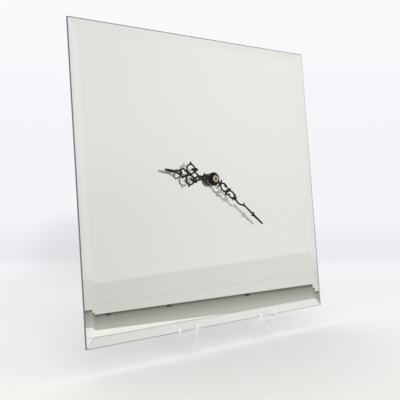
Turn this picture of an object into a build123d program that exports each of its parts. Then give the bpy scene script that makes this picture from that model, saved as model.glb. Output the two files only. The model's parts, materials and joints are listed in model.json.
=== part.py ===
from build123d import *
from math import atan2, cos, degrees, radians, sin
import os

# Frame: millimetres, +Z up, the dial faces -Y, the origin is on the table under the middle of the clock.
# The clock is modelled flat (x right, y up the plate, z out of the dial, z = 0 on the glass), then stood up.

# Mirror plate
plate_side = 305.0
glass_thickness = 3.0
glass_edge = 1.6
bevel_width = 9.5
coat_thickness = 0.2
plate_lean = 6.6
plate_lift = 24.0

# Hands, whose patterns are drawn in grid steps, and the time they show, in degrees clockwise from twelve
hand_sheet = 0.5
hand_stroke = 1.75
hand_grid = 1.0
hour_hand_angle = 279.4
hour_hand_length = 61.4
hour_boss_radius = 7.2
minute_hand_angle = 129.0
minute_hand_length = 80.5
minute_boss_radius = 5.4
hand_nut_radius = 3.6
hand_nut_height = 2.2
hand_nut_chamfer = 0.6
hand_nut_recess = 1.2
hand_nut_mouth = 0.5

# Sides of the small rings, and of hidden small rods and holes, which are prisms
ring_sides = 32
rod_sides = 8
hex_sides = 6

# Fixing through the glass
bush_radius = 3.9
bush_wall = 1.2
bush_flange_flats = 10.0
bush_flange_thickness = 0.6
bush_proud = 0.3
dial_washer_radius = 6.6
dial_washer_thickness = 0.5
hex_nut_flats = 11.0
hex_nut_height = 2.8
rubber_radius = 9.0
rubber_thickness = 1.0

# Hanging bracket
hanger_sheet = 0.8
hanger_width = 18.0
hanger_standoff = 9.0
hanger_rise = 3.0
hanger_tab = 14.0
hanger_hole_radius = 3.0
hanger_corner = 4.5

# Dry cell, size AA
battery_diameter = 14.2
battery_body = 49.4
battery_nub_radius = 2.7
battery_nub = 1.1
battery_chamfer = 0.4

# Movement case
case_wall = 1.2
case_corner = 4.0
case_front_depth = 9.0
case_lip = 0.8
case_lip_height = 1.4
bay_wall = 1.0
contact_room = 1.55
contact_sheet = 0.4
contact_width = 8.0

# Wheels: teeth, centre distances and bearings on the dial
hour_teeth = 32
minute_pinion_teeth = 8
minute_wheel_teeth = 30
cannon_teeth = 10
setting_teeth = 8
centre_teeth = 48
third_pinion_teeth = 6
third_teeth = 45
second_pinion_teeth = 6
second_teeth = 30
intermediate_pinion_teeth = 6
intermediate_teeth = 36
rotor_pinion_teeth = 6
motion_distance = 8.0
third_distance = 9.4
rotor_distance = 7.2
motion_bearing = 95.0
third_bearing = 185.0
intermediate_bearing = 10.0
rotor_bearing = 70.0
bridge_post_bearing = 140.0

# Tooth form in modules, and tooth widths as a share of half a pitch; the spaces of a wheel are plain notches
wheel_addendum = 0.9
wheel_dedendum = 1.6
wheel_tip_share = 0.16
pinion_addendum = 0.75
pinion_dedendum = 1.2
pinion_root_share = 0.42
pinion_tip_share = 0.2

# Axial sizes of the train
hour_wheel_thickness = 0.8
wheel_thickness = 0.6
wheel_gap = 0.6
pinion_overrun = 0.2
end_shake = 0.3
bridge_thickness = 1.0
bridge_margin = 2.4

# Arbors, tubes and posts
second_arbor_radius = 0.5
minute_pipe_radius = 1.65
minute_seat_width = 2.5
minute_seat_length = 2.1
minute_thread_radius = 1.2
hour_tube_wall = 0.75
arbor_radius = 0.5
pivot_length = 0.9
setting_radius = 1.15
boss_wall = 0.8
post_radius = 1.5
peg_radius = 0.9
peg_height = 0.5

# Stepping motor and electronics
magnet_radius = 2.25
magnet_length = 2.0
stator_thickness = 0.8
stator_air_gap = 0.6
stator_bridge = 0.8
stator_arm = 4.0
coil_length = 17.0
coil_flange_side = 9.0
coil_flange = 0.8
coil_tube_wall = 0.6
coil_radius = 4.1
core_side = 2.4
board_width = 14.0
board_height = 15.0
board_thickness = 1.0
board_standoff = 1.5
board_peg_inset = 2.0
chip_radius = 3.0
chip_height = 1.4
chip_chamfer = 0.8
crystal_radius = 1.0
crystal_length = 6.0

# Setting knob
knob_radius = 5.5
knob_height = 3.6
knob_flutes = 18
knob_flute_depth = 0.6

# Clear easel, bent from one sheet
easel_sheet = 3.0
easel_offset = 9.6
hook_spacing = 107.0
hook_width = 22.0
hook_lip = 5.5
hook_gap = 2.2
hook_bend = 2.5
leg_margin = 3.0
leg_bulge = 3.0
foot_width = 9.0
foot_spacing = 85.0
easel_case_gap = 12.0
easel_top_width = 48.0
easel_arch = 34.0
easel_bend = 6.0
easel_rear_angle = 24.0
easel_rear_foot = 16.0
easel_rear_spread = 74.0

# Clearances
running_fit = 0.05
press_gap = 0.01
pipe_gap = 0.1
seat_gap = 0.1
hole_gap = 0.6
cell_gap = 0.3
part_gap = 0.5

# Levels from the glass backwards
coat_back = -glass_thickness - coat_thickness
case_face = coat_back - rubber_thickness - hanger_sheet
case_inside = case_face - case_wall
easel_back = coat_back - seat_gap - easel_sheet

# Levels from the glass forwards
nut_top = dial_washer_thickness + hex_nut_height
bush_top = nut_top + bush_proud
hour_hand_level = bush_top + part_gap
minute_hand_level = hour_hand_level + hand_sheet + 2 * part_gap
hand_nut_level = minute_hand_level + hand_sheet
hand_nut_top = hand_nut_level + hand_nut_height
minute_pipe_top = hand_nut_top - hand_nut_recess
second_arbor_top = minute_pipe_top - part_gap

# Depths of the wheels behind the inner face of the case front
hour_wheel_depth = end_shake
minute_wheel_depth = hour_wheel_depth + hour_wheel_thickness + wheel_gap
cannon_depth = minute_wheel_depth - pinion_overrun
cannon_length = wheel_thickness + 2 * pinion_overrun
centre_depth = minute_wheel_depth + wheel_thickness + wheel_gap
third_depth = centre_depth + wheel_thickness + wheel_gap + pinion_overrun
second_depth = third_depth + wheel_thickness + wheel_gap
intermediate_depth = second_depth + wheel_thickness + wheel_gap + pinion_overrun
bridge_depth = intermediate_depth + wheel_thickness + wheel_gap
train_front = centre_depth - pinion_overrun
pivot_end = bridge_depth + pivot_length
stator_depth = third_depth

# Modules that follow from the centre distances
minute_module = 2 * motion_distance / (cannon_teeth + minute_wheel_teeth)
hour_module = 2 * motion_distance / (minute_pinion_teeth + hour_teeth)
third_module = 2 * third_distance / (second_pinion_teeth + third_teeth)
centre_module = 2 * third_distance / (third_pinion_teeth + centre_teeth)
centre_tip = centre_module * (centre_teeth / 2 + wheel_addendum)
third_tip = third_module * (third_teeth / 2 + wheel_addendum)
minute_wheel_tip = minute_module * (minute_wheel_teeth / 2 + wheel_addendum)
intermediate_distance = centre_tip + arbor_radius + end_shake
second_module = 2 * intermediate_distance / (intermediate_pinion_teeth + second_teeth)
rotor_module = 2 * rotor_distance / (rotor_pinion_teeth + intermediate_teeth)
intermediate_tip = rotor_module * (intermediate_teeth / 2 + wheel_addendum)
setting_distance = minute_module * (minute_wheel_teeth + setting_teeth) / 2


def polar(radius, bearing, start=(0.0, 0.0)):
    angle = radians(bearing)
    return (start[0] + radius * cos(angle), start[1] + radius * sin(angle))


# Places of the arbors
centre_at = (0.0, 0.0)
motion_at = polar(motion_distance, motion_bearing)
setting_at = polar(setting_distance, motion_bearing, motion_at)
third_at = polar(third_distance, third_bearing)
intermediate_at = polar(intermediate_distance, intermediate_bearing)
rotor_at = polar(rotor_distance, rotor_bearing, intermediate_at)

# Motor: the coil stands to the right of the rotor and of the intermediate wheel
stator_hole = magnet_radius + stator_air_gap
limb_half = stator_hole + stator_bridge
coil_left = max(rotor_at[0] + limb_half, intermediate_at[0] + intermediate_tip) + part_gap
coil_at = (coil_left + coil_flange_side / 2, rotor_at[1] + magnet_radius)
coil_reach = coil_length / 2 + part_gap + stator_arm
core_depth = stator_depth + stator_thickness + core_side / 2
motor_room = coil_left + coil_flange_side + cell_gap + case_lip + seat_gap

# Case outline: the cell bay lies under the third wheel, the rest of the square above it
cell_half = (battery_body + battery_nub) / 2
case_half = max(cell_half + contact_room, motor_room)
contact_length = case_half - cell_half
case_side = 2 * (case_half + case_wall)
case_depth = case_wall + battery_diameter + 2 * cell_gap + part_gap
bay_top = third_at[1] - third_tip - part_gap
cell_top = bay_top - bay_wall - cell_gap
cell_at = cell_top - battery_diameter / 2
case_low = cell_top - battery_diameter - cell_gap - case_wall
case_high = case_low + case_side
case_middle = (case_low + case_high) / 2
cell_depth = cell_gap + battery_diameter / 2
split_depth = case_front_depth - case_wall
case_end_depth = case_depth - 2 * case_wall
case_back = case_face - case_depth
board_left = -case_half + part_gap
board_top = case_high - case_wall - part_gap

# Hanging bracket: fronts of its base and tab, and the height where it steps back over the case
hanger_front = coat_back - rubber_thickness
hanger_tab_front = hanger_front - hanger_standoff
hanger_step = case_high + part_gap
hanger_hole_at = (0, hanger_step + hanger_rise + hanger_tab / 2, hanger_tab_front - hanger_sheet / 2)

# Easel: heights up the plate of the ledges' top, the table and the start of the top bend
easel_ledge = -plate_side / 2 - seat_gap
easel_table = -plate_side / 2 - plate_lift / cos(radians(plate_lean)) - easel_sheet
easel_top = case_low - easel_case_gap - easel_bend - easel_sheet

# Posts of the case front that carry the bridge, the stator and the board
bridge_posts = (
    (third_at[0] - third_tip - post_radius - part_gap, third_at[1] - third_tip / 2),
    (coil_left, bay_top + bridge_margin + part_gap),
    polar(minute_wheel_tip + post_radius + part_gap, bridge_post_bearing, motion_at),
    (rotor_at[0] - limb_half - post_radius - part_gap, coil_at[1] + coil_length / 2 + stator_arm / 2),
)
stator_posts = (
    (rotor_at[0] - limb_half + stator_arm / 2, coil_at[1] + coil_reach - stator_arm / 2),
    (coil_at[0], coil_at[1] + coil_reach - stator_arm / 2),
    (coil_at[0], coil_at[1] - coil_reach + stator_arm / 2),
)
board_posts = (
    (board_left + board_peg_inset, board_top - board_peg_inset),
    (board_left + board_width - board_peg_inset, board_top - board_height + board_peg_inset),
)


# Small helpers for solids and outlines

def between(outline, low, high):
    """Solid of an outline from one height to another."""
    return Pos(0, 0, low) * extrude(outline, high - low)


def behind(outline, depth, length, at=centre_at):
    """Solid of an outline from a depth behind the case front's inner face backwards."""
    return Pos(at[0], at[1], case_inside - depth) * extrude(outline, -length)


def rod(radius):
    """Outline of a small rod, with its corners on the radius."""
    return RegularPolygon(radius, rod_sides)


def rod_hole(radius):
    """Outline of a small hole, with its sides on the radius."""
    return RegularPolygon(radius, rod_sides, major_radius=False)


def ring(point, radius, width):
    outline = RegularPolygon(radius + width / 2, ring_sides) - RegularPolygon(radius - width / 2, ring_sides)
    return Pos(*point) * outline


def knot(point, width):
    """Blunt blob in a hand."""
    return Pos(*point) * RegularPolygon(width / 2, rod_sides)


def bar(start, end, start_width, end_width):
    """Tapered bar with blunt ends."""
    line = Line(start, end)
    length = line.length
    first = start_width / 2
    last = end_width / 2
    outline = Polygon(
        (-first, -first / 2), (0, -first), (length, -last), (length + last, -last / 2),
        (length + last, last / 2), (length, last), (0, first), (-first, first / 2), align=None)
    direction = line % 0
    return Pos(*start) * Rot(0, 0, degrees(atan2(direction.Y, direction.X))) * outline


def bow(start, through, end, width):
    """Arc-shaped bar with blunt ends."""
    band = trace(ThreePointArc(start, through, end), width)
    return band + knot(start, width) + knot(end, width)


def wheel_outline(teeth, module, phase):
    """Toothed wheel with notched spaces; the first tooth points at the phase angle, in degrees."""
    root = module * (teeth / 2 - wheel_dedendum)
    tip = module * (teeth / 2 + wheel_addendum)
    half_pitch = 180.0 / teeth
    points = []
    for tooth in range(teeth):
        middle = phase + 2 * half_pitch * tooth
        points.append(polar(root, middle - half_pitch))
        points.append(polar(tip, middle - wheel_tip_share * half_pitch))
        points.append(polar(tip, middle + wheel_tip_share * half_pitch))
    return Polygon(*points, align=None)


def pinion_outline(teeth, module, phase):
    """Pinion with open spaces; the first tooth points at the phase angle, in degrees."""
    root = module * (teeth / 2 - pinion_dedendum)
    tip = module * (teeth / 2 + pinion_addendum)
    half_pitch = 180.0 / teeth
    points = []
    for tooth in range(teeth):
        middle = phase + 2 * half_pitch * tooth
        points.append(polar(root, middle - pinion_root_share * half_pitch))
        points.append(polar(tip, middle - pinion_tip_share * half_pitch))
        points.append(polar(tip, middle + pinion_tip_share * half_pitch))
        points.append(polar(root, middle + pinion_root_share * half_pitch))
    return Polygon(*points, align=None)


def mesh_phase(teeth, phase, mate_teeth, bearing):
    """Phase of the mate, lying at a bearing, whose tooth space faces the first gear's tooth."""
    turns = (bearing - phase) * teeth / 360.0
    return bearing + 180.0 - 360.0 / mate_teeth * (0.5 - turns)


# Phases that bring every pair of gears into mesh
cannon_phase = 0.0
minute_wheel_phase = mesh_phase(cannon_teeth, cannon_phase, minute_wheel_teeth, motion_bearing)
minute_pinion_phase = minute_wheel_phase
hour_phase = mesh_phase(minute_pinion_teeth, minute_pinion_phase, hour_teeth, motion_bearing + 180)
setting_phase = mesh_phase(minute_wheel_teeth, minute_wheel_phase, setting_teeth, motion_bearing)
second_phase = 0.0
third_phase = mesh_phase(second_pinion_teeth, second_phase, third_teeth, third_bearing)
centre_phase = mesh_phase(third_pinion_teeth, third_phase, centre_teeth, third_bearing + 180)
intermediate_phase = mesh_phase(second_teeth, second_phase, intermediate_pinion_teeth, intermediate_bearing)
rotor_phase = mesh_phase(intermediate_teeth, intermediate_phase, rotor_pinion_teeth, rotor_bearing)


# Mirror plate

def mirror_glass():
    sheet = Rectangle(plate_side, plate_side)
    flat_side = plate_side - 2 * bevel_width
    edge_line = Pos(0, 0, glass_edge - glass_thickness) * sheet
    bevel = loft([edge_line.face(), Rectangle(flat_side, flat_side).face()])
    hole = between(Circle(bush_radius + hole_gap), -2 * glass_thickness, glass_thickness)
    return between(sheet, -glass_thickness, glass_edge - glass_thickness) + bevel - hole


def silver_backing():
    coat = Rectangle(plate_side, plate_side) - Circle(bush_radius + hole_gap)
    return between(coat, coat_back, -glass_thickness)


# Fixing through the glass

def threaded_bush():
    barrel = between(RegularPolygon(bush_radius, ring_sides), case_inside, bush_top)
    flange = RegularPolygon(bush_flange_flats / 2, hex_sides, major_radius=False)
    barrel += between(flange, case_inside, case_inside + bush_flange_thickness)
    bore = RegularPolygon(bush_radius - bush_wall, ring_sides, major_radius=False)
    return barrel - between(bore, 2 * case_inside, 2 * bush_top)


def dial_washer():
    outline = Circle(dial_washer_radius) - rod_hole(bush_radius + running_fit)
    return between(outline, 0, dial_washer_thickness)


def hex_nut():
    hexagon = RegularPolygon(hex_nut_flats / 2, hex_sides, major_radius=False)
    block = between(hexagon, dial_washer_thickness, nut_top)
    corner_radius = hex_nut_flats / 2 / cos(radians(180 / hex_sides))
    rounding = between(Circle(corner_radius), dial_washer_thickness, nut_top)
    rounding = chamfer(rounding.edges().group_by(Axis.Z)[-1], (corner_radius - hex_nut_flats / 2) / 2)
    return (block & rounding) - between(rod_hole(bush_radius + running_fit), 0, 2 * nut_top)


def rubber_washer():
    outline = RegularPolygon(rubber_radius, ring_sides) - rod_hole(bush_radius + running_fit)
    return between(outline, coat_back - rubber_thickness, coat_back)


def hanger():
    half_sheet = hanger_sheet / 2
    path = Polyline(
        (-hanger_width / 2, hanger_front - half_sheet),
        (hanger_step + half_sheet, hanger_front - half_sheet),
        (hanger_step + half_sheet, hanger_tab_front - half_sheet),
        (hanger_step + hanger_rise + hanger_tab, hanger_tab_front - half_sheet),
    )
    # the profile lies in (y, z) and is drawn out along x
    strip = extrude(Plane.YZ * trace(path, hanger_sheet), hanger_width / 2, both=True)
    strip = fillet(strip.edges().filter_by(Axis.Z).group_by(Axis.Y)[-1], hanger_corner)
    hole = rod_hole(bush_radius + running_fit)
    strip -= between(hole, hanger_front - 2 * hanger_sheet, hanger_front + hanger_sheet)
    return strip - Pos(*hanger_hole_at) * Cylinder(hanger_hole_radius, 4 * hanger_sheet)


# Hands, drawn along +x from the arbor

def grid(x, y):
    return (x * hand_grid, y * hand_grid)


def mirrored(outline):
    return outline + mirror(outline, Plane.XZ)


def hour_outline():
    stroke = hand_stroke
    fine = 0.9 * stroke
    broad = 1.35 * stroke
    # one of the two rings, with its strut, outer spur and inner tongue
    half = ring(grid(30.2, 5.6), 4.9 * hand_grid, stroke)
    half += bar(grid(19.5, 0), grid(24.6, 3.2), stroke, stroke)
    half += bar(grid(30.8, 10.4), grid(31, 12.0), stroke, broad)
    half += bar(grid(28.4, 5.4), grid(23.4, 6.1), 1.2 * broad, 1.7 * broad)
    # one side of the heart behind the tip
    half += bow(grid(31.6, 0.2), grid(36.4, 2.6), grid(39.4, 5.0), stroke)
    half += bow(grid(39.4, 5.0), grid(43.6, 2.2), grid(49.6, 0.5), stroke)
    # ear of the loop next to the boss
    half += bar(grid(12.6, 2.2), grid(12.9, 3.5), stroke, stroke)
    outline = mirrored(half)
    outline += ring(grid(12.3, 0), 2.2 * hand_grid, stroke)
    outline += bar(grid(41.8, 2.8), grid(41.8, -2.8), fine, fine)
    outline += knot(grid(41.8, 0), 1.8 * stroke)
    # stem
    outline += bar((0, 0), grid(10.2, 0), 2 * stroke, 2 * stroke)
    outline += bar(grid(14.8, 0), grid(20.2, 0), broad, stroke)
    outline += bar(grid(29.2, 0), grid(32.4, 0), stroke, stroke)
    outline += bar(grid(48.6, 0), (hour_hand_length - broad / 2, 0), 1.6 * stroke, broad)
    return outline


def minute_outline():
    stroke = hand_stroke
    fine = 0.75 * stroke
    broad = 1.35 * stroke
    outline = bar((0, 0), grid(9.4, 0), 2 * stroke, stroke)
    outline += bar(grid(8.2, -3.6), grid(8.2, 4.0), stroke, stroke)
    # first scroll, thick at the end of its upper side
    outline += bow(grid(9.4, -0.1), grid(13.6, -3.3), grid(19.2, -2.3), stroke)
    outline += bow(grid(9.4, -0.1), grid(11.6, 3.2), grid(15.7, 2.8), stroke)
    outline += bar(grid(13.2, 3.4), grid(15.7, 2.8), stroke, 2 * stroke)
    outline += bar(grid(15.7, 2.8), grid(20.8, 2.4), fine, fine)
    # cross between the scrolls
    outline += bar(grid(19.6, -2.0), grid(21.6, 2.0), 2 * stroke, 1.8 * stroke)
    outline += bar(grid(20.4, -2.6), grid(20.3, -5.0), broad, stroke)
    outline += bar(grid(21.8, 2.0), grid(22.2, 4.1), stroke, stroke)
    # second scroll
    outline += bow(grid(22.2, 1.6), grid(27.0, 2.9), grid(31.6, 0.7), stroke)
    outline += bow(grid(20.8, -3.6), grid(23.0, -3.4), grid(24.6, -1.8), stroke)
    outline += bow(grid(24.6, -1.8), grid(27.6, -3.3), grid(31.0, -1.4), stroke)
    outline += knot(grid(24.4, -1.9), 1.5 * stroke)
    # crossing with its three spurs
    outline += bar(grid(31.4, -0.9), grid(33.2, 0.6), broad, 1.8 * stroke)
    outline += bar(grid(32.0, 1.0), grid(30.9, 3.0), stroke, stroke)
    outline += bar(grid(31.8, -1.2), grid(31.3, -3.6), stroke, stroke)
    outline += bar(grid(33.2, -0.4), grid(33.9, -2.2), stroke, stroke)
    # waved stem with its thorns
    outline += bow(grid(33.4, 0.1), grid(38.6, -1.9), grid(43.8, -1.1), stroke)
    outline += bow(grid(43.8, -1.1), grid(46.4, 0.4), grid(49.6, 1.1), stroke)
    outline += bar(grid(49.6, 1.1), grid(63.3, 0.3), stroke, 1.25 * stroke)
    outline += bar(grid(47.4, 0.5), grid(46.0, 2.8), broad, fine)
    outline += bar(grid(64.6, 0.3), grid(62.0, 2.7), broad, fine)
    outline += bar(grid(64.6, 0.1), grid(62.4, -1.8), broad, fine)
    outline += bar(grid(63.3, 0.2), (minute_hand_length - stroke / 2, 0), 1.6 * stroke, stroke)
    return outline


def hour_hand():
    outline = hour_outline() + RegularPolygon(hour_boss_radius, ring_sides)
    outline -= rod_hole(bush_radius - bush_wall - pipe_gap + press_gap)
    sheet = between(outline, hour_hand_level, hour_hand_level + hand_sheet)
    return Rot(0, 0, 90 - hour_hand_angle) * sheet


def minute_hand():
    outline = minute_outline() + RegularPolygon(minute_boss_radius, ring_sides)
    outline -= Rectangle(minute_seat_width + 2 * press_gap, minute_seat_length + 2 * press_gap)
    sheet = between(outline, minute_hand_level, hand_nut_level)
    return Rot(0, 0, 90 - minute_hand_angle) * sheet


def hand_nut():
    body = between(Circle(hand_nut_radius), hand_nut_level, hand_nut_top)
    body = chamfer(body.edges().group_by(Axis.Z)[-1], hand_nut_chamfer)
    body -= between(RegularPolygon(minute_thread_radius + press_gap, ring_sides), 0, 2 * hand_nut_top)
    mouth = body.faces().sort_by(Axis.Z)[-1].inner_wires()[0]
    return chamfer(mouth.edges(), hand_nut_mouth)


# Motion work

def hour_wheel():
    tube_radius = bush_radius - bush_wall - pipe_gap
    low = case_inside - hour_wheel_depth - hour_wheel_thickness
    high = hour_hand_level + hand_sheet
    wheel = behind(wheel_outline(hour_teeth, hour_module, hour_phase), hour_wheel_depth, hour_wheel_thickness)
    wheel += between(rod(tube_radius), low, high)
    return wheel - between(rod_hole(tube_radius - hour_tube_wall), 2 * low, 2 * high)


def minute_pipe():
    pinion = pinion_outline(cannon_teeth, minute_module, cannon_phase)
    pipe = behind(pinion, cannon_depth, cannon_length)
    pipe += between(rod(minute_pipe_radius), case_inside - cannon_depth, minute_hand_level)
    seat = Rot(0, 0, 90 - minute_hand_angle) * Rectangle(minute_seat_width, minute_seat_length)
    pipe += between(seat, minute_hand_level, hand_nut_level)
    pipe += between(rod(minute_thread_radius), hand_nut_level, minute_pipe_top)
    neck_end = centre_depth + wheel_thickness + pinion_overrun
    pipe += behind(rod(minute_thread_radius), cannon_depth, neck_end - cannon_depth)
    hole = rod_hole(second_arbor_radius + pipe_gap)
    return pipe - between(hole, 2 * case_back, 2 * hand_nut_top)


def minute_wheel():
    wheel = wheel_outline(minute_wheel_teeth, minute_module, minute_wheel_phase)
    pinion = pinion_outline(minute_pinion_teeth, hour_module, minute_pinion_phase)
    hole = rod_hole(arbor_radius + running_fit)
    front = hour_wheel_depth - pinion_overrun
    solid = behind(wheel - hole, minute_wheel_depth, wheel_thickness, motion_at)
    return solid + behind(pinion - hole, front, minute_wheel_depth - front, motion_at)


def setting_shaft():
    tail = case_end_depth + case_wall + knob_height
    pinion = pinion_outline(setting_teeth, minute_module, setting_phase)
    shaft = behind(pinion, cannon_depth, cannon_length, setting_at)
    shaft += behind(rod(arbor_radius), cannon_depth - pivot_length, pivot_length, setting_at)
    return shaft + behind(rod(setting_radius), cannon_depth, tail - cannon_depth, setting_at)


def setting_knob():
    points = []
    for flute in range(knob_flutes):
        angle = 360.0 / knob_flutes * flute
        points.append(polar(knob_radius, angle))
        points.append(polar(knob_radius - knob_flute_depth, angle + 180.0 / knob_flutes))
    outline = Polygon(*points, align=None) - rod_hole(setting_radius + press_gap)
    return behind(outline, case_end_depth + case_wall + cell_gap, knob_height, setting_at)


# Going train

def arbor(at):
    """Arbor from its front boss to its hole in the bridge."""
    front = train_front - pivot_length
    return behind(rod(arbor_radius), front, pivot_end - front, at)


def centre_wheel():
    outline = wheel_outline(centre_teeth, centre_module, centre_phase)
    return behind(outline - rod_hole(minute_thread_radius + running_fit), centre_depth, wheel_thickness)


def third_wheel():
    wheel = wheel_outline(third_teeth, third_module, third_phase)
    pinion = pinion_outline(third_pinion_teeth, centre_module, third_phase)
    solid = behind(wheel, third_depth, wheel_thickness, third_at)
    solid += behind(pinion, train_front, third_depth - train_front, third_at)
    return solid + arbor(third_at)


def second_wheel():
    wheel = wheel_outline(second_teeth, second_module, second_phase)
    pinion = pinion_outline(second_pinion_teeth, third_module, second_phase)
    front = third_depth - pinion_overrun
    solid = behind(wheel, second_depth, wheel_thickness)
    solid += behind(pinion, front, second_depth - front)
    return solid + between(rod(second_arbor_radius), case_inside - pivot_end, second_arbor_top)


def intermediate_wheel():
    wheel = wheel_outline(intermediate_teeth, rotor_module, intermediate_phase)
    pinion = pinion_outline(intermediate_pinion_teeth, second_module, intermediate_phase)
    front = second_depth - pinion_overrun
    solid = behind(wheel, intermediate_depth, wheel_thickness, intermediate_at)
    solid += behind(pinion, front, intermediate_depth - front, intermediate_at)
    return solid + arbor(intermediate_at)


def rotor():
    pinion = pinion_outline(rotor_pinion_teeth, rotor_module, rotor_phase)
    front = intermediate_depth - pinion_overrun
    return behind(pinion, front, wheel_thickness + 2 * pinion_overrun, rotor_at) + arbor(rotor_at)


def rotor_magnet():
    outline = RegularPolygon(magnet_radius, ring_sides) - rod_hole(arbor_radius + press_gap)
    return behind(outline, stator_depth + stator_thickness / 2 - magnet_length / 2, magnet_length, rotor_at)


# Motor and electronics

def stator():
    left = rotor_at[0] - limb_half
    right = rotor_at[0] + limb_half
    end = coil_at[0] + core_side
    top = coil_at[1] + coil_reach
    low = coil_at[1] - coil_reach
    toe = rotor_at[1] - limb_half
    outline = Polygon(
        (left, toe), (rotor_at[0], toe), (rotor_at[0], low), (end, low),
        (end, low + stator_arm), (right, low + stator_arm), (right, top - stator_arm),
        (end, top - stator_arm), (end, top), (left, top), align=None)
    outline -= Pos(*rotor_at) * RegularPolygon(stator_hole, ring_sides)
    for post in stator_posts:
        outline -= Pos(*post) * rod_hole(peg_radius + running_fit)
    return behind(outline, stator_depth, stator_thickness)


def coil_core():
    return behind(Rectangle(core_side, 2 * coil_reach), core_depth - core_side / 2, core_side, coil_at)


def along_coil(outline, start, length):
    """Solid of an outline that is drawn along the coil from a start below its middle."""
    place = Pos(coil_at[0], coil_at[1] + start, case_inside - core_depth)
    return place * Rot(90, 0, 0) * extrude(outline, -length)


def coil_bobbin():
    tube_side = core_side + 2 * press_gap + 2 * coil_tube_wall
    shape = along_coil(Rectangle(tube_side, tube_side), -coil_length / 2, coil_length)
    for start in (-coil_length / 2, coil_length / 2 - coil_flange):
        shape += along_coil(Rectangle(coil_flange_side, coil_flange_side), start, coil_flange)
    slot = core_side + 2 * press_gap
    return shape - along_coil(Rectangle(slot, slot), -coil_length, 2 * coil_length)


def coil_winding():
    hole = core_side + 4 * press_gap + 2 * coil_tube_wall
    length = coil_length - 2 * coil_flange
    return along_coil(RegularPolygon(coil_radius, ring_sides) - Rectangle(hole, hole), -length / 2, length)


def circuit_board():
    middle = (board_left + board_width / 2, board_top - board_height / 2)
    corner = case_corner - case_wall - part_gap
    outline = Pos(*middle) * RectangleRounded(board_width, board_height, corner)
    for post in board_posts:
        outline -= Pos(*post) * rod_hole(peg_radius + running_fit)
    return behind(outline, board_standoff, board_thickness)


def chip_cap():
    """Resin drop over the chip."""
    place = (board_left + board_width - chip_radius - part_gap, board_top - chip_radius - part_gap)
    board_back = case_inside - board_standoff - board_thickness
    drop = between(rod(chip_radius), board_back - chip_height, board_back)
    return Pos(*place) * chamfer(drop.edges().group_by(Axis.Z)[0], chip_chamfer)


def quartz_crystal():
    can = Rot(90, 0, 0) * Cylinder(crystal_radius, crystal_length)
    place = (board_left + crystal_radius + part_gap, board_top - board_height + crystal_length / 2 + part_gap)
    board_back = case_inside - board_standoff - board_thickness
    return Pos(place[0], place[1], board_back - crystal_radius) * can


# Cell and its contacts

def battery():
    body = chamfer(Cylinder(battery_diameter / 2, battery_body).edges(), battery_chamfer)
    body += Pos(0, 0, battery_body / 2) * extrude(RegularPolygon(battery_nub_radius, ring_sides), battery_nub)
    place = (-battery_nub / 2, cell_at, case_inside - cell_depth)
    return Pos(*place) * Rot(0, 90, 0) * body


def contact_positive():
    plate = Box(contact_sheet, contact_width, battery_diameter - contact_width / 2)
    pad_length = contact_length - contact_sheet - running_fit
    pad = Rot(0, -90, 0) * extrude(rod(battery_nub_radius), pad_length)
    plate += Pos(-contact_sheet / 2, 0, 0) * pad
    return Pos(case_half - contact_sheet / 2, cell_at, case_inside - cell_depth) * plate


def contact_negative():
    """Bowed leaf spring that stands off the end wall and bears on the cell."""
    reach = battery_diameter / 2 - contact_width / 4
    bow_height = contact_length - contact_sheet - running_fit
    line = ThreePointArc((0, -reach), (bow_height, 0), (0, reach))
    leaf = extrude(trace(line, contact_sheet), contact_width / 2, both=True)
    leaf += Pos(-contact_sheet / 4, 0, 0) * Box(contact_sheet / 2, 2 * reach, contact_width)
    start = -case_half + contact_sheet / 2
    return Pos(start, cell_at, case_inside - cell_depth) * Rot(90, 0, 0) * leaf


# Movement case

def case_block(inset, depth, length):
    """Rounded square block of the case outline, drawn in by an inset, from a depth backwards."""
    side = case_side - 2 * inset
    return behind(RectangleRounded(side, side, case_corner - inset), depth, length, (0, case_middle))


def bay_partition(depth, length):
    return behind(Rectangle(2 * case_half, bay_wall), depth, length, (0, bay_top - bay_wall / 2))


def pegged_posts(places, height, peg):
    """Posts on the inner face of the case front, each with a peg on it."""
    posts = []
    for at in places:
        posts.append(behind(rod(post_radius), 0, height, at) + behind(rod(peg_radius), height, peg, at))
    return posts


def pivot_boss(at, top):
    """Hollow boss on the inner face that takes a front pivot."""
    bearing = arbor_radius + running_fit
    return behind(rod(bearing + boss_wall) - rod_hole(bearing), 0, top, at)


def cell_ribs():
    """Two ribs on the inner face that cradle the cell."""
    cradle = Rot(0, 90, 0) * RegularPolygon(battery_diameter / 2 + cell_gap, rod_sides, major_radius=False)
    cradle = Pos(0, cell_at, case_inside - cell_depth) * extrude(cradle, case_side, both=True)
    ribs = []
    for side in (-1, 1):
        place = (side * battery_body / 4, cell_at)
        ribs.append(behind(Rectangle(case_wall, battery_diameter), 0, cell_depth, place) - cradle)
    return ribs


def front_case():
    shell = case_block(0, -case_wall, case_front_depth) - case_block(case_wall, 0, 2 * case_front_depth)
    shell += bay_partition(0, split_depth)
    for at in (third_at, intermediate_at, rotor_at):
        shell += pivot_boss(at, train_front - end_shake)
    shell += pivot_boss(setting_at, cannon_depth - end_shake)
    shell += behind(rod(arbor_radius), 0, minute_wheel_depth + wheel_thickness + pinion_overrun, motion_at)
    shell += pegged_posts(bridge_posts, bridge_depth, bridge_thickness + peg_height)
    shell += pegged_posts(stator_posts, stator_depth, stator_thickness - press_gap)
    shell += pegged_posts(board_posts, board_standoff, board_thickness + peg_height)
    shell += cell_ribs()
    shell -= behind(Circle(bush_radius + press_gap), -2 * case_wall, 4 * case_wall)
    flange = RegularPolygon(bush_flange_flats / 2 + press_gap, hex_sides, major_radius=False)
    flange_room = bush_flange_thickness + press_gap
    return shell - behind(flange, -flange_room, 2 * flange_room)


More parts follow.
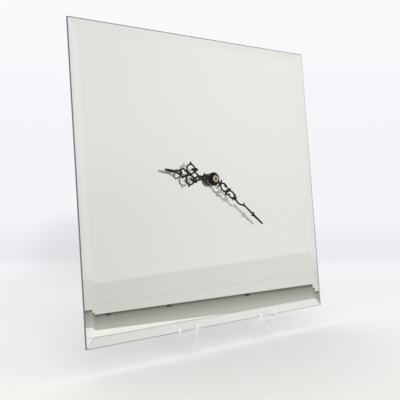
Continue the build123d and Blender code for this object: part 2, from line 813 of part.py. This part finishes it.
def rear_cover():
    length = case_end_depth + case_wall - split_depth
    shell = case_block(0, split_depth, length)
    shell -= case_block(case_wall, split_depth - length, length + case_end_depth - split_depth)
    # locating lip inside the front shell, left out across the cell bay
    lip_outer = case_wall + seat_gap
    lip = case_block(lip_outer, split_depth - case_lip_height, case_lip_height)
    lip += case_block(case_wall, split_depth, case_lip)
    lip -= case_block(lip_outer + case_lip, split_depth - 2 * case_lip_height, 4 * case_lip_height)
    below_lip = Rectangle(2 * case_side, 2 * case_side)
    lip -= behind(below_lip, 0, case_depth, (0, bay_top + seat_gap - case_side))
    shell += lip
    shell += bay_partition(split_depth, case_end_depth - split_depth)
    opening_low = case_low + case_wall
    opening_high = bay_top - bay_wall
    opening = Rectangle(2 * case_half - 2 * contact_sheet, opening_high - opening_low)
    shell -= behind(opening, case_end_depth - case_wall, 4 * case_wall, (0, (opening_high + opening_low) / 2))
    return shell - behind(rod_hole(setting_radius + pipe_gap), 0, 2 * case_depth, setting_at)


def train_bridge():
    """Plate over the wheels with the rear pivot holes, staked on four posts."""
    pads = [edge for at in bridge_posts for edge in (Pos(*at) * rod(bridge_margin)).edges()]
    plate = make_hull(pads)
    for at in bridge_posts:
        plate -= Pos(*at) * rod_hole(peg_radius + running_fit)
    for at in (centre_at, third_at, intermediate_at, rotor_at):
        plate -= Pos(*at) * rod_hole(arbor_radius + running_fit)
    plate -= Pos(*setting_at) * rod_hole(setting_radius + running_fit)
    return behind(plate, bridge_depth, bridge_thickness)


# Clear easel, also in the frame of the plate; its middle is set off to one side

def easel_panel():
    outer = hook_spacing / 2 + hook_width / 2 + leg_margin
    inner = hook_spacing / 2 - hook_width / 2 - leg_margin
    shoulder = easel_ledge + hook_width + leg_margin
    foot_out = foot_spacing / 2 + foot_width / 2
    foot_in = foot_spacing / 2 - foot_width / 2
    leg_edge = SagittaArc((foot_out, easel_table), (outer, easel_ledge), -leg_bulge)
    frame = Polyline((outer, easel_ledge), (outer, shoulder), (easel_top_width / 2, easel_top),
                     (0, easel_top), (0, easel_table), (foot_out, easel_table))
    half = make_face(leg_edge.edges() + frame.edges())
    half -= Polygon((0, easel_table), (foot_in, easel_table), (inner, easel_ledge), (0, easel_ledge),
                    align=None)
    half -= Pos(0, easel_ledge) * Ellipse(inner, easel_arch)
    half -= Pos(hook_spacing / 2, easel_ledge + hook_width / 2) * Rectangle(hook_width, hook_width)
    panel = mirror(half, Plane.YZ) + half
    return between(panel, easel_back, easel_back + easel_sheet)


def easel_hook():
    """Tab folded forward out of the window: a ledge and an upturned lip."""
    ledge_low = easel_ledge - easel_sheet
    lip_top = easel_ledge + hook_lip
    lip_front = hook_gap + easel_sheet
    profile = Polygon((ledge_low, easel_back), (easel_ledge, easel_back), (easel_ledge, hook_gap),
                      (lip_top, hook_gap), (lip_top, lip_front), (ledge_low, lip_front), align=None)
    tab = extrude(Plane.YZ * profile, hook_width / 2, both=True)
    front_low = tab.edges().filter_by(Axis.X).sort_by(Axis.Z)[-2:].sort_by(Axis.Y)[0]
    return fillet(front_low, hook_bend)


def easel_rear():
    """Rear leg, drawn straight on over the top bend: two feet below an open middle."""
    length = 2 * (easel_top - easel_ledge)
    # the spread is reached half way along, near the table; the rest is cut off there
    half_top = easel_top_width / 2
    half_end = easel_rear_spread - half_top
    leaf = Polygon((-half_top, 0), (half_top, 0), (half_end, length), (-half_end, length), align=None)
    window = easel_rear_spread - 2 * easel_rear_foot
    leaf -= Pos(0, 3 * length / 4) * RectangleRounded(window, length, window / 4)
    return Pos(0, easel_top, easel_back) * extrude(leaf, easel_sheet)


def easel_stand():
    turn = 180 - plate_lean - easel_rear_angle
    stand = easel_panel()
    for side in (-1, 1):
        stand += Pos(side * hook_spacing / 2, 0, 0) * easel_hook()
    # top bend, and the rear leg turned back with it
    axis = Axis((0, easel_top, easel_back - easel_bend), (-1, 0, 0))
    section = Rot(90, 0, 0) * Rectangle(easel_top_width, easel_sheet)
    stand += revolve(Pos(0, easel_top, easel_back + easel_sheet / 2) * section, axis, turn)
    stand += easel_rear().rotate(axis, turn)
    return Pos(easel_offset, 0, 0) * stand


# Stand everything up: lean the plate back, lift it on the easel and centre it on the origin

builders = (
    mirror_glass, silver_backing, threaded_bush, dial_washer, hex_nut, rubber_washer, hanger,
    hour_hand, minute_hand, hand_nut, hour_wheel, minute_pipe, minute_wheel, setting_shaft, setting_knob,
    centre_wheel, third_wheel, second_wheel, intermediate_wheel, rotor, rotor_magnet,
    stator, coil_core, coil_bobbin, coil_winding, circuit_board, chip_cap, quartz_crystal,
    battery, contact_positive, contact_negative, front_case, rear_cover, train_bridge, easel_stand,
)

plate_middle = plate_lift + plate_side / 2 * cos(radians(plate_lean))
upright = Pos(0, 0, plate_middle) * Rot(90 - plate_lean, 0, 0)
standing = {build.__name__: upright * build() for build in builders}
below = Pos(0, 0, -plate_side) * Box(4 * plate_side, 4 * plate_side, 2 * plate_side)
standing["easel_stand"] = standing["easel_stand"] - below
extent = Compound(list(standing.values())).bounding_box()
to_origin = Pos(0, -extent.center().Y, 0)
nodes = {name: to_origin * solid for name, solid in standing.items()}

os.makedirs("parts", exist_ok=True)
for name, solid in nodes.items():
    export_step(solid, "parts/" + name + ".step")
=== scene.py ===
import json
from math import cos, radians, sin

import bpy
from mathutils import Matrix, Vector


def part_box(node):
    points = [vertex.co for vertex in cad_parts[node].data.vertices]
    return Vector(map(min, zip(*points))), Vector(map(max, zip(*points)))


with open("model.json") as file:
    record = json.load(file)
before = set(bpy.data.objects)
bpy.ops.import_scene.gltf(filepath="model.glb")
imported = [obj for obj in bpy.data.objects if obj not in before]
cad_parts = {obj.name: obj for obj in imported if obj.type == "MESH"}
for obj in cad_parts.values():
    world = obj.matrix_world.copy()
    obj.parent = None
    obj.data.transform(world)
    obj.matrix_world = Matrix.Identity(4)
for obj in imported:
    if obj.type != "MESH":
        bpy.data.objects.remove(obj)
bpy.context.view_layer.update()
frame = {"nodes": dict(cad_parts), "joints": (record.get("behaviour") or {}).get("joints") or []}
nodes = frame["nodes"]
joints = {joint["name"]: joint for joint in frame["joints"]}


def heading(angle):
    """Level direction, in degrees from the dial's side towards the right."""
    return Vector((sin(radians(angle)), -cos(radians(angle)), 0))


# Directions: of the room, out of the dial, and up the plate
right = Vector((1, 0, 0))
up = Vector((0, 0, 1))
dial_out = -Vector(joints["minute_turn"]["axis"])
plate_up = Vector(joints["clock_lift"]["axis"])

# The glass plate: its middle, and how far along those directions its faces and lower ridge lie
same_plane = 0.0001
glass_low, glass_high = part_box("mirror_glass")
plate_middle = (glass_low + glass_high) / 2
glass_points = [vertex.co for vertex in nodes["mirror_glass"].data.vertices]
plate_front = max(dial_out.dot(point) for point in glass_points)
plate_foot = min(plate_up.dot(point) for point in glass_points)
plate_top = max(plate_up.dot(point) for point in glass_points)
ridge_foot = min(plate_up.dot(point) for point in glass_points
                 if dial_out.dot(point) > plate_front - same_plane)

# Camera, as solved from the plate's corners in the photograph
camera_offset = Vector((-0.3726, -0.4953, 0.0084))
camera_heading = 35.94
camera_pitch = -2.774
camera_lens = 52.53
camera_sensor = 36.0
view_ahead = -heading(-camera_heading)
view_aside = heading(90 - camera_heading)

# Table, in metres and degrees: its far part fades into the backdrop, counted away from the camera
table_edge_distance = 0.6175
table_edge_heading = 42.2
table_size = 3.0
table_drop = 0.0002
table_roughness = 0.6
table_specular = 0.1
table_front_tone = (0.915, 0.896, 0.872)
table_tone = (0.915, 0.905, 0.915)
table_tone_change = (-0.15, 0.0)
fade_range = (0.20, 0.45)
fade_depth = 1.65

# Backdrop, with its tones by distance on the table and by height above it
backdrop_tone = (0.896, 0.913, 0.947)
backdrop_top_tone = (0.945, 0.962, 0.972)
backdrop_heights = (0.05, 0.28)
backdrop_stops = (
    (0.20, (0.86, 0.86, 0.87)),
    (0.45, (0.896, 0.913, 0.930)),
    (0.60, (0.835, 0.845, 0.875)),
    (0.73, (0.829, 0.839, 0.867)),
    (0.93, (0.847, 0.863, 0.896)),
    (1.20, (0.871, 0.888, 0.921)),
    (1.60, backdrop_tone),
)
studio_tone = (1, 1, 1)
studio_strength = 0.745

# Painted soft shadow of the clock on the backdrop: a slanting band that runs away from the plate
shadow_depth = 0.12
shadow_slant = 0.25
shadow_left = (-0.31, -0.08)
shadow_right = (0.0, 0.3)
shadow_end = (0.7, 2.8)

# The room that the mirror shows, in metres and degrees: a wall above a panel with a groove,
# a recess under the panel darkened by painted shadow, and dark feet in it; the groove's shade is
# painted too
wall_distance = 1.5
wall_heading = 45.0
wall_half_width = 3.0
wall_low = -1.0
wall_high = 2.6
wall_tone = (0.868, 0.853, 0.836)
# painted shade on the wall: darker towards its left side, and darker low and lighter high
wall_side_range = (-0.75, 0.0)
wall_side_shade = (0.90, 1.0)
wall_rise_range = (0.25, 0.75)
wall_height_shade = (0.964, 1.035)
panel_low = 0.0089
panel_high = 0.1229
panel_tilt = 0.0085
panel_tone = (0.787, 0.760, 0.735)
groove_place = 0.0439
groove_width = 0.005
groove_shade = 0.88
line_width = 0.0022
recess_low = -0.040
recess_light = (0.55, 0.54, 0.50)
recess_dark = (0.32, 0.31, 0.275)
recess_line = (0.165, 0.16, 0.14)
foot_places = (-0.65, -0.42, -0.136)
foot_side = 0.009
foot_tone = (0.06, 0.057, 0.05)
foot_roughness = 0.8

# Edges of the plate: widths of the dark lines painted where the dark ground edges show through
# the glass, and the share of light that the lit edge lets through at the foot and at the top
left_line = 0.0007
bottom_line = 0.0003
top_line = 0.0002
ridge_line = 0.00015
edge_line_tone = (0.15, 0.16, 0.155)
lit_edge_tone = (0.95, 0.955, 0.95)
lit_edge_share = (0.1, 0.75)

# Easel: share of the light that passes it unbent, and the tone of the glint painted on its lips'
# ends
acrylic_clearness = 0.8
lip_glint_tone = (0.86, 0.86, 0.85)

# Cell: share of its length at which the dark sleeve ends and the copper-coloured part starts
sleeve_dark = (0.045, 0.045, 0.05)
sleeve_copper = (0.55, 0.30, 0.14)
sleeve_change = (0.71, 0.715)

# Dressing: how squarely a face looks along a direction, the hair between coat and glass,
# and the edges that are broken so that they catch the light
facing = 0.95
hair_gap = 0.00002
weld_reach = 1e-6
soft_segments = 2
soft_angle = 40
soft_widths = {
    "front_case": 0.0004,
    "rear_cover": 0.0004,
    "setting_knob": 0.0003,
    "easel_stand": 0.0004,
    "hex_nut": 0.0002,
    "hanger": 0.00015,
}

# Parts of a noise's range between which a tone wanders
tone_limits = (0.35, 0.65)
sharp_limits = (0.45, 0.55)


# Shader helpers

def feed(tree, socket, value):
    """Links a socket to another node's output, or sets it to a constant."""
    if isinstance(value, bpy.types.NodeSocket):
        tree.links.new(value, socket)
    elif socket.type == "RGBA":
        socket.default_value = (*value, 1)
    else:
        socket.default_value = value


def add_node(tree, kind, inputs=(), **settings):
    """New node with its settings, and with its inputs fed by name or number."""
    node = tree.nodes.new("ShaderNode" + kind)
    for name, value in settings.items():
        setattr(node, name, value)
    for socket, value in dict(inputs).items():
        feed(tree, node.inputs[socket], value)
    return node


def object_point(tree):
    return add_node(tree, "TexCoord").outputs["Object"]


def world_point(tree):
    return add_node(tree, "NewGeometry").outputs["Position"]


def along(tree, point, direction):
    """How far a point lies along a direction."""
    reach = add_node(tree, "VectorMath", {0: point, 1: direction}, operation="DOT_PRODUCT")
    return reach.outputs["Value"]


def calc(tree, operation, *values):
    return add_node(tree, "Math", enumerate(values), operation=operation).outputs["Value"]


def change(tree, value, ends, levels=(0.0, 1.0), curve="SMOOTHSTEP"):
    """Change from one level to another while a value goes from end to end."""
    inputs = {"Value": value, "From Min": ends[0], "From Max": ends[1],
              "To Min": levels[0], "To Max": levels[1]}
    return add_node(tree, "MapRange", inputs, interpolation_type=curve).outputs["Result"]


def ramp(tree, value, stops):
    """Tone that changes with a value, from stop to stop."""
    node = add_node(tree, "ValToRGB", {"Fac": value})
    points = node.color_ramp.elements
    # a new point may start anywhere, as each one is placed below
    while len(points) < len(stops):
        points.new(0.5)
    for point, (position, tone) in zip(points, stops):
        point.position = position
        point.color = (*tone, 1)
    return node.outputs["Color"]


def noise(tree, scale, detail=3.0, stretch=(1, 1, 1)):
    """Noise over the object's own coordinates, in features per metre."""
    turn = add_node(tree, "Mapping", {"Vector": object_point(tree), "Scale": stretch})
    cloud = add_node(tree, "TexNoise", {"Vector": turn.outputs["Vector"], "Scale": scale,
                                        "Detail": detail})
    return cloud.outputs["Fac"]


def lay_over(tree, base, cover, share):
    """Shader with a share of another one laid over it."""
    return add_node(tree, "MixShader", {"Fac": share, 1: base, 2: cover}).outputs["Shader"]


def surface(tree):
    return tree.nodes["Material Output"].inputs["Surface"]


def principled(tree):
    return tree.nodes["Principled BSDF"]


def new_material(name, tone, roughness, metallic=0.0, **sockets):
    """Principled material with constant values, which the caller may link over."""
    made = bpy.data.materials.new(name)
    made.use_nodes = True
    values = {"Base Color": tone, "Roughness": roughness, "Metallic": metallic, **sockets}
    for socket, value in values.items():
        feed(made.node_tree, principled(made.node_tree).inputs[socket.replace("_", " ")], value)
    return made


def finish(name, tone, roughness, metallic=0.0, tones=None, grain=None, limits=tone_limits,
           gloss=None, gloss_grain=None, relief=None, relief_grain=None, **sockets):
    """Material whose tone wanders between two tones, its roughness over a range of gloss, and
    its surface over a height of relief in metres. Each follows a noise, and a grain is the
    noise's features per metre, its detail and its stretch."""
    made = new_material(name, tone, roughness, metallic, **sockets)
    tree = made.node_tree
    inputs = principled(tree).inputs
    if tones:
        stops = list(zip(limits, tones))
        feed(tree, inputs["Base Color"], ramp(tree, noise(tree, *grain), stops))
    if gloss:
        spread = change(tree, noise(tree, *gloss_grain), (0.0, 1.0), gloss, "LINEAR")
        feed(tree, inputs["Roughness"], spread)
    if relief:
        bump = add_node(tree, "Bump", {"Height": noise(tree, *relief_grain), "Distance": relief})
        feed(tree, inputs["Normal"], bump.outputs["Normal"])
    return made


# Materials of the clock that are more than one finish

def clear_glass():
    """Clear plate, with dark lines painted along its ground edges and its lower ridge, where the
    dark edges show through the glass.
    """
    made = finish("clear_glass", (0.982, 0.986, 0.98), 0.0, IOR=1.52, Transmission_Weight=1.0,
                  gloss=(0.0, 0.002), gloss_grain=(40, 2))
    tree = made.node_tree
    across = along(tree, object_point(tree), right)
    rise = along(tree, object_point(tree), plate_up)
    # painted dark lines, where the ground edges show through the glass
    lines = calc(tree, "LESS_THAN", across, glass_low.x + left_line)
    for line in (
        calc(tree, "LESS_THAN", rise, plate_foot + bottom_line),
        calc(tree, "GREATER_THAN", rise, plate_top - top_line),
        calc(tree, "COMPARE", rise, ridge_foot, ridge_line / 2),
    ):
        lines = calc(tree, "MAXIMUM", lines, line)
    ground = add_node(tree, "BsdfDiffuse", {"Color": edge_line_tone}).outputs["BSDF"]
    feed(tree, surface(tree), lay_over(tree, principled(tree).outputs["BSDF"], ground, lines))
    return made


def lit_edge():
    """Ground edge that lets the room's light through, more of it towards the top. Its pale tone
    is painted light: the other ground edges are dark.
    """
    made = finish("lit_edge", (0.74, 0.75, 0.75), 0.5,
                  tones=((0.70, 0.71, 0.71), (0.78, 0.79, 0.79)), grain=(900,),
                  gloss=(0.3, 0.6), gloss_grain=(900,))
    tree = made.node_tree
    rise = along(tree, object_point(tree), plate_up)
    share = change(tree, rise, (plate_foot, plate_top), lit_edge_share)
    light = add_node(tree, "BsdfTranslucent", {"Color": lit_edge_tone}).outputs["BSDF"]
    feed(tree, surface(tree), lay_over(tree, principled(tree).outputs["BSDF"], light, share))
    return made


def clear_acrylic(name):
    """Sheet so clear that only its edges and bends show."""
    made = finish(name, (0.99, 0.993, 0.996), 0.0, IOR=1.49, Transmission_Weight=1.0,
                  gloss=(0.0, 0.03), gloss_grain=(60, 2))
    tree = made.node_tree
    clear = add_node(tree, "BsdfTransparent").outputs["BSDF"]
    feed(tree, surface(tree),
         lay_over(tree, principled(tree).outputs["BSDF"], clear, acrylic_clearness))
    return made


def glinting_sawn_acrylic():
    """Ends of the easel's sheet, with a painted glint, a glow of their own, where the lips stand
    before the plate.
    """
    made = clear_acrylic("glinting_sawn_acrylic")
    tree = made.node_tree
    clear = surface(tree).links[0].from_socket
    before = calc(tree, "GREATER_THAN", along(tree, object_point(tree), dial_out), plate_front)
    above = calc(tree, "GREATER_THAN", along(tree, object_point(tree), plate_up), plate_foot)
    # painted glint: the ends glow with a tone of their own
    glint = add_node(tree, "Emission", {"Color": lip_glint_tone}).outputs["Emission"]
    feed(tree, surface(tree),
         lay_over(tree, clear, glint, calc(tree, "MULTIPLY", before, above)))
    return made


def cell_sleeve():
    """Printed sleeve of a dry cell: dark, with a copper-coloured positive end."""
    made = finish("cell_sleeve", (0.05, 0.05, 0.055), 0.3, 0.4,
                  gloss=(0.22, 0.38), gloss_grain=(500,))
    tree = made.node_tree
    low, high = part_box("battery")
    length = change(tree, along(tree, object_point(tree), right), (low.x, high.x), curve="LINEAR")
    stops = list(zip(sleeve_change, (sleeve_dark, sleeve_copper)))
    feed(tree, principled(tree).inputs["Base Color"], ramp(tree, length, stops))
    return made


# Finishes

glass = clear_glass()
lit = lit_edge()
acrylic = clear_acrylic("clear_acrylic")
sawn_glint = glinting_sawn_acrylic()
sleeve = cell_sleeve()
edge = finish("ground_edge", (0.14, 0.15, 0.15), 0.5,
              tones=((0.11, 0.12, 0.12), (0.18, 0.19, 0.19)), grain=(900,),
              gloss=(0.3, 0.6), gloss_grain=(900,))
silver = finish("silver_coat", (0.93, 0.94, 0.925), 0.0, 1.0,
                tones=((0.925, 0.935, 0.92), (0.94, 0.95, 0.935)), grain=(6, 1))
paint = finish("back_paint", (0.36, 0.37, 0.38), 0.5,
               tones=((0.345, 0.355, 0.365), (0.375, 0.385, 0.395)), grain=(160, 6),
               relief=0.00004, relief_grain=(700, 2))
lacquer = finish("black_lacquer", (0.012, 0.012, 0.012), 0.4, Specular_IOR_Level=0.2,
                 tones=((0.006, 0.006, 0.006), (0.018, 0.017, 0.016)), grain=(300, 4),
                 gloss=(0.35, 0.5), gloss_grain=(500,), relief=0.00002, relief_grain=(1500, 2))
aluminium = finish("bare_aluminium", (0.78, 0.79, 0.79), 0.3, 1.0,
                   tones=((0.72, 0.73, 0.73), (0.82, 0.83, 0.83)), grain=(400, 3),
                   gloss=(0.25, 0.4), gloss_grain=(900, 2, (1, 1, 8)))
brass = finish("turned_brass", (0.50, 0.46, 0.30), 0.3, 1.0,
               tones=((0.43, 0.40, 0.25), (0.55, 0.51, 0.34)), grain=(500, 4),
               gloss=(0.22, 0.42), gloss_grain=(1200,), relief=0.00001, relief_grain=(2500, 2))
# dull brass of the hub's stack, its tones also painted darker as the shade between the hands and
# the glass
dull_and_shaded = finish("dull_and_shaded_brass", (0.33, 0.335, 0.26), 0.45, 1.0,
              tones=((0.27, 0.275, 0.21), (0.39, 0.395, 0.31)), grain=(500, 4),
              gloss=(0.35, 0.6), gloss_grain=(900,), relief=0.00001, relief_grain=(2500, 2))
black = finish("moulded_black", (0.022, 0.022, 0.024), 0.5,
               tones=((0.018, 0.018, 0.019), (0.03, 0.03, 0.032)), grain=(90, 5),
               gloss=(0.42, 0.62), gloss_grain=(600,), relief=0.00003, relief_grain=(2600, 2))
white = finish("moulded_white", (0.82, 0.81, 0.76), 0.4,
               tones=((0.79, 0.78, 0.72), (0.86, 0.85, 0.80)), grain=(200, 4))
rubber = finish("black_rubber", (0.02, 0.02, 0.02), 0.8,
                tones=((0.015, 0.015, 0.015), (0.035, 0.034, 0.033)), grain=(500, 4),
                relief=0.00005, relief_grain=(1800, 3))
zinc = finish("zinc_plate", (0.62, 0.63, 0.64), 0.32, 1.0,
              tones=((0.54, 0.55, 0.56), (0.68, 0.69, 0.70)), grain=(260, 5),
              gloss=(0.25, 0.45), gloss_grain=(700, 2, (1, 1, 10)))
magnet = finish("dark_magnet", (0.12, 0.12, 0.125), 0.45, 0.6,
                tones=((0.09, 0.09, 0.095), (0.16, 0.16, 0.165)), grain=(900, 4))
# fine turns of enamelled wire, wound round the upright coil
wire = finish("copper_wire", (0.62, 0.28, 0.13), 0.3, 1.0,
              tones=((0.48, 0.2, 0.09), (0.70, 0.34, 0.17)), grain=(4000, 1, (0.05, 0.05, 1)),
              relief=0.00005, relief_grain=(6000, 1, (0.02, 0.02, 1)))
board = finish("green_board", (0.04, 0.2, 0.1), 0.35,
               tones=((0.03, 0.15, 0.075), (0.06, 0.25, 0.13)), grain=(700, 5),
               limits=sharp_limits)
resin = finish("dark_resin", (0.015, 0.015, 0.016), 0.15,
               gloss=(0.1, 0.25), gloss_grain=(800,))


# Dressing of the CAD nodes

def dress(node, main, *others):
    """Gives a node its material. The others are for faces that look along a direction."""
    mesh = nodes[node].data
    mesh.materials.clear()
    mesh.materials.append(main)
    for polygon in mesh.polygons:
        polygon.material_index = 0
    for other, direction in others:
        mesh.materials.append(other)
        for polygon in mesh.polygons:
            if polygon.normal.dot(direction) > facing:
                polygon.material_index = len(mesh.materials) - 1


def soften(node, width):
    """Breaks the sharp edges of a node."""
    weld = nodes[node].modifiers.new("weld", "WELD")
    weld.merge_threshold = weld_reach
    bevel = nodes[node].modifiers.new("soften", "BEVEL")
    bevel.width = width
    bevel.segments = soft_segments
    bevel.limit_method = "ANGLE"
    bevel.angle_limit = radians(soft_angle)
    bevel.harden_normals = True


def part_from_glass(node):
    """Draws a coat a hair away from the glass it lies on, so that no two faces share a plane."""
    gap = nodes[node].modifiers.new("hair_gap", "DISPLACE")
    gap.mid_level = 0.0
    gap.strength = -hair_gap


def dress_all():
    dress("mirror_glass", glass, (silver, -dial_out), (edge, -right), (lit, right),
          (edge, plate_up), (edge, -plate_up))
    dress("silver_backing", paint, (silver, dial_out))
    dress("easel_stand", acrylic, (sawn_glint, -right), (sawn_glint, right))
    dress("hour_hand", lacquer, (aluminium, -dial_out))
    dress("minute_hand", lacquer, (aluminium, -dial_out))
    dress("battery", sleeve, (zinc, -right), (zinc, right))
    # the pipe's and the arbor's ends lie deep in the hub: the black rubber on them is painted
    # shade
    dress("minute_pipe", dull_and_shaded, (rubber, dial_out))
    dress("second_wheel", white, (rubber, dial_out))
    for main, names in (
        (brass, ("hand_nut",)),
        (dull_and_shaded, ("hex_nut", "dial_washer", "threaded_bush", "hour_wheel")),
        (black, ("front_case", "rear_cover", "train_bridge", "setting_knob", "coil_bobbin")),
        (white, ("minute_wheel", "setting_shaft", "centre_wheel", "third_wheel",
                 "intermediate_wheel", "rotor")),
        (zinc, ("hanger", "stator", "coil_core", "quartz_crystal", "contact_positive",
                "contact_negative")),
        (rubber, ("rubber_washer",)),
        (magnet, ("rotor_magnet",)),
        (wire, ("coil_winding",)),
        (board, ("circuit_board",)),
        (resin, ("chip_cap",)),
    ):
        for name in names:
            dress(name, main)
    part_from_glass("silver_backing")
    for name, width in soft_widths.items():
        soften(name, width)


# Stage

def sheet(name, corners, material):
    mesh = bpy.data.meshes.new(name)
    mesh.from_pydata([tuple(corner) for corner in corners], [], [(0, 1, 2, 3)])
    mesh.materials.append(material)
    made = bpy.data.objects.new(name, mesh)
    bpy.context.scene.collection.objects.link(made)
    return made


def upright_card(name, middle, half, low, high, material):
    """Card that stands on its lower edge, between two heights."""
    return sheet(name, (middle - half + up * low, middle + half + up * low,
                        middle + half + up * high, middle - half + up * high), material)


def table_material():
    """Pale table that fades into the backdrop away from the clock, with the clock's soft shadow
    painted into its glow.
    """
    made = new_material("pale_table", table_tone, table_roughness,
                        Specular_IOR_Level=table_specular)
    tree = made.node_tree
    distance = along(tree, world_point(tree), view_ahead)
    cooled = change(tree, distance, table_tone_change)
    feed(tree, principled(tree).inputs["Base Color"],
         ramp(tree, cooled, ((0.0, table_front_tone), (1.0, table_tone))))
    # painted shadow: the glow is dimmed in a band left of the plate
    band = along(tree, world_point(tree), view_aside + shadow_slant * view_ahead)
    shadow = calc(tree, "MULTIPLY", change(tree, band, shadow_left),
                  change(tree, band, shadow_right, (1.0, 0.0)))
    shadow = calc(tree, "MULTIPLY", shadow, change(tree, distance, shadow_end, (1.0, 0.0)))
    strength = change(tree, shadow, (0.0, 1.0), (1.0, 1.0 - shadow_depth))
    depth = change(tree, distance, (0.0, fade_depth), curve="LINEAR")
    tone = ramp(tree, depth, [(place / fade_depth, tone) for place, tone in backdrop_stops])
    glow = add_node(tree, "Emission", {"Color": tone, "Strength": strength}).outputs["Emission"]
    fade = change(tree, distance, fade_range)
    feed(tree, surface(tree), lay_over(tree, principled(tree).outputs["BSDF"], glow, fade))
    return made


def room_material():
    """What the mirror looks at: the recess, the panel with its groove, and the wall above it,
    with painted shade in the recess and groove and across the wall.
    """
    made = bpy.data.materials.new("room_card")
    made.use_nodes = True
    tree = made.node_tree
    wall_aside = heading(wall_heading + 90)
    wall_start = panel_high + line_width
    stops = (
        (recess_low, recess_light),
        (panel_low - 5 * line_width, recess_dark),
        (panel_low - 2 * line_width, recess_line),
        (panel_low, recess_line),
        (panel_low + line_width / 2, panel_tone),
        (groove_place, panel_tone),
        (groove_place + groove_width / 2, [groove_shade * part for part in panel_tone]),
        (groove_place + groove_width, panel_tone),
        (panel_high - 2 * line_width, panel_tone),
        (wall_start, wall_tone),
    )
    level = along(tree, world_point(tree), up - panel_tilt * wall_aside)
    height = change(tree, level, (recess_low, wall_start), curve="LINEAR")
    tone = ramp(tree, height, [((place - recess_low) / (wall_start - recess_low), tone)
                               for place, tone in stops])
    sideways = along(tree, world_point(tree), wall_aside)
    rise = along(tree, world_point(tree), up)
    # painted shade across the card: darker towards the left and towards the foot, lighter high up
    strength = calc(tree, "MULTIPLY", change(tree, sideways, wall_side_range, wall_side_shade),
                    change(tree, rise, wall_rise_range, wall_height_shade))
    glow = add_node(tree, "Emission", {"Color": tone, "Strength": strength})
    feed(tree, surface(tree), glow.outputs["Emission"])
    return made


def build_stage():
    ahead = heading(table_edge_heading)
    aside = heading(table_edge_heading + 90) * table_size
    near = ahead * table_edge_distance - up * table_drop
    far = -ahead * table_size - up * table_drop
    sheet("table", (near - aside, near + aside, far + aside, far - aside), table_material())
    ahead = heading(wall_heading)
    aside = heading(wall_heading + 90)
    cards = [upright_card("room_wall", ahead * wall_distance, aside * wall_half_width,
                          wall_low, wall_high, room_material())]
    dark = new_material("panel_foot", foot_tone, foot_roughness)
    for place in foot_places:
        middle = ahead * (wall_distance - foot_side) + aside * place
        top = panel_low + panel_tilt * place
        cards.append(upright_card("panel_foot", middle, aside * foot_side, top - foot_side, top,
                                  dark))
    # the mirror sees the room, a camera that walks round the clock doesn't
    for card in cards:
        card.visible_camera = False
        card.visible_diffuse = False
        card.visible_shadow = False


def build_world():
    """Even light, and a pale backdrop for what is seen directly, in a mirror or through glass."""
    world = bpy.data.worlds.new("studio")
    world.use_nodes = True
    bpy.context.scene.world = world
    tree = world.node_tree
    light = tree.nodes["Background"]
    feed(tree, light.inputs["Color"], studio_tone)
    feed(tree, light.inputs["Strength"], studio_strength)
    height = along(tree, add_node(tree, "TexCoord").outputs["Generated"], up)
    tone = ramp(tree, height, list(zip(backdrop_heights, (backdrop_tone, backdrop_top_tone))))
    seen = add_node(tree, "Background", {"Color": tone}).outputs["Background"]
    rays = add_node(tree, "LightPath").outputs
    views = calc(tree, "MAXIMUM", rays["Is Camera Ray"], rays["Is Glossy Ray"])
    views = calc(tree, "MAXIMUM", views, rays["Is Transmission Ray"])
    feed(tree, tree.nodes["World Output"].inputs["Surface"],
         lay_over(tree, light.outputs["Background"], seen, views))


def softbox(name, place, aim, size, power, spread=180):
    light = bpy.data.lights.new(name, "AREA")
    light.shape = "SQUARE"
    light.size = size
    light.energy = power
    light.spread = radians(spread)
    made = bpy.data.objects.new(name, light)
    made.location = place
    made.rotation_euler = (Vector(aim) - Vector(place)).to_track_quat("-Z", "Y").to_euler()
    # no lamp shows in the mirror
    made.visible_glossy = False
    made.visible_transmission = False
    bpy.context.scene.collection.objects.link(made)


def build_camera():
    lens = bpy.data.cameras.new("camera")
    lens.sensor_width = camera_sensor
    lens.lens = camera_lens
    camera = bpy.data.objects.new("camera", lens)
    camera.location = plate_middle + camera_offset
    pitch = radians(camera_pitch)
    view = view_ahead * cos(pitch) + up * sin(pitch)
    camera.rotation_euler = view.to_track_quat("-Z", "Y").to_euler()
    bpy.context.scene.collection.objects.link(camera)
    bpy.context.scene.camera = camera


dress_all()
build_stage()
build_world()
softbox("top_light", place=(-0.05, 0.3, 1.7), aim=(0, 0, 0.1), size=1.6, power=6.6)
softbox("front_light", place=(-0.6, -1.9, 0.9), aim=(0, 0, 0), size=1.4, power=4.1, spread=100)
build_camera()
bpy.context.scene.view_settings.view_transform = "Standard"
